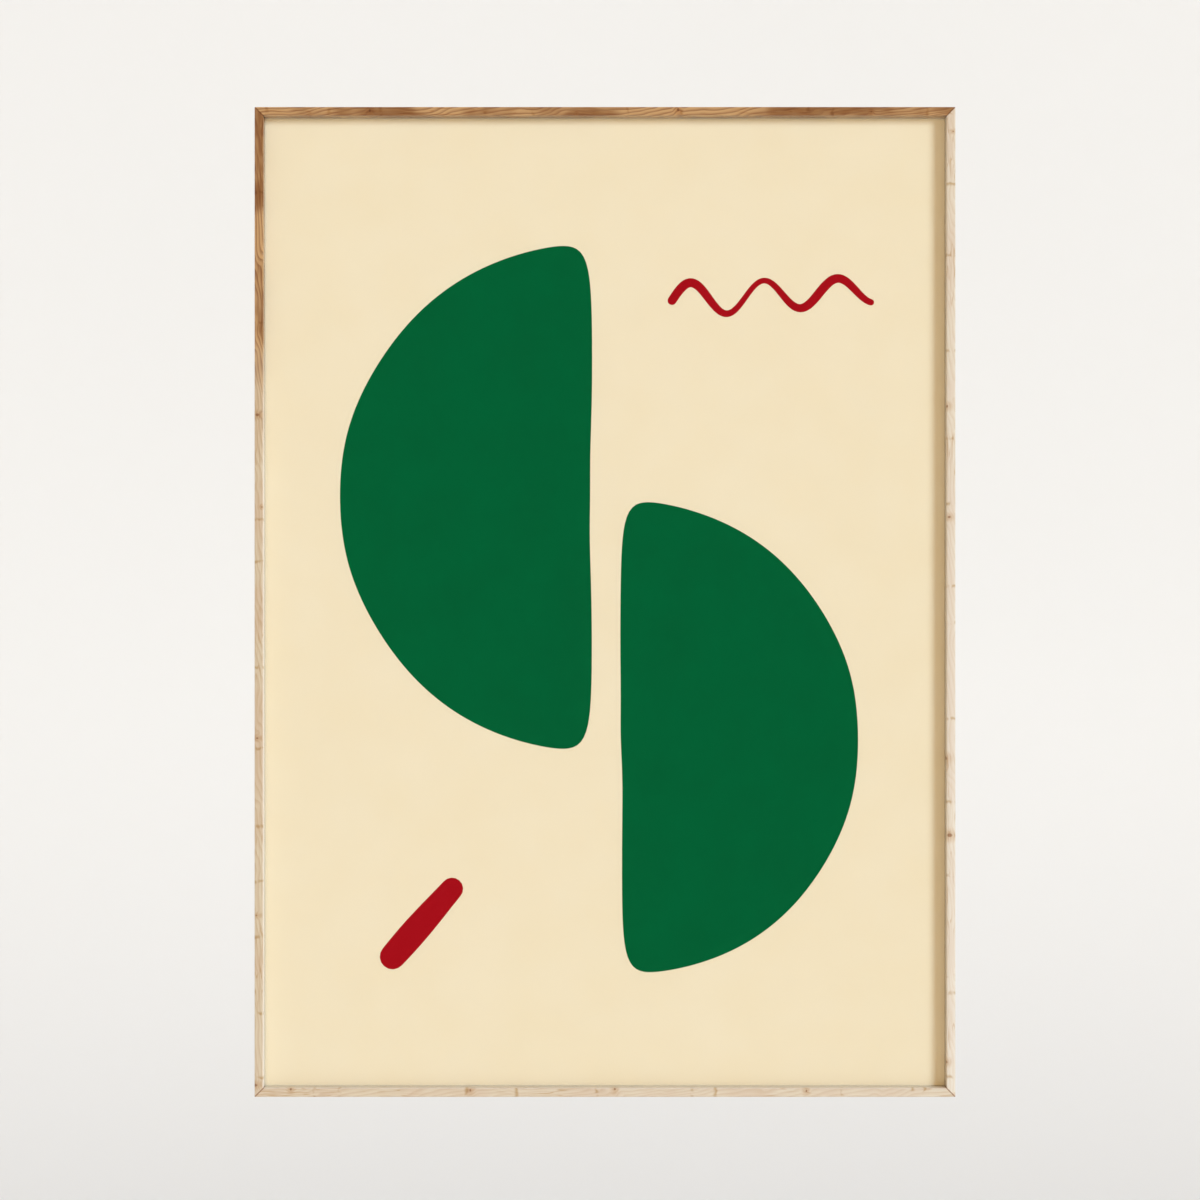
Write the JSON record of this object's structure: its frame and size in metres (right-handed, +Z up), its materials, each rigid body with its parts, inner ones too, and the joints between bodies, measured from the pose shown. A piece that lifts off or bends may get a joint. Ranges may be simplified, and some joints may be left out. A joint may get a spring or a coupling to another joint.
{
  "type": "framed wall print",
  "caption": "Tall wall print of plain cut-out shapes in a slim mitred pale wood frame, with glazing, a backing board held by flexible tabs, and sawtooth hangers on the back.",
  "frame": {"origin": "on the wall plane at the frame's back, midway between the two places where the hangers' teeth rest on their hooks", "axes": "+Z up along the frame's height, +Y into the wall, so the picture faces -Y; +X to the right as the picture is seen"},
  "size_m": [0.6026, 0.022, 0.851],
  "materials": {
    "pale_wood": "pale knotty softwood, planed, with a thin clear matt lacquer",
    "clear_glass": "clear float glass with seamed edges",
    "print_paper": "matt art paper with flat inks on a cream ground",
    "fibreboard": "medium density fibreboard, sanded face",
    "tab_steel": "bright rolled spring steel strip",
    "nail_steel": "plain rolled steel",
    "hanger_zinc": "pressed steel, zinc plated",
    "rivet_zinc": "drawn steel, zinc plated"
  },
  "bodies": {
    "root": {"rail_left": "pale_wood", "rail_right": "pale_wood", "rail_bottom": "pale_wood", "rail_top": "pale_wood", "glazing": "clear_glass", "print_sheet": "print_paper", "backing_board": "fibreboard", "tab_left_1": "tab_steel", "tab_left_2": "tab_steel", "tab_left_3": "tab_steel", "tab_left_4": "tab_steel", "tab_left_5": "tab_steel", "tab_right_1": "tab_steel", "tab_right_2": "tab_steel", "tab_right_3": "tab_steel", "tab_right_4": "tab_steel", "tab_right_5": "tab_steel", "tab_bottom_1": "tab_steel", "tab_bottom_2": "tab_steel", "tab_bottom_3": "tab_steel", "tab_bottom_4": "tab_steel", "tab_top_1": "tab_steel", "tab_top_2": "tab_steel", "tab_top_3": "tab_steel", "tab_top_4": "tab_steel", "corner_nail_lower_left": "nail_steel", "corner_nail_lower_right": "nail_steel", "corner_nail_upper_right": "nail_steel", "corner_nail_upper_left": "nail_steel", "hanger_left": "hanger_zinc", "hanger_right": "hanger_zinc", "rivet_left_outer": "rivet_zinc", "rivet_left_inner": "rivet_zinc", "rivet_right_outer": "rivet_zinc", "rivet_right_inner": "rivet_zinc"}
  },
  "joints": []
}
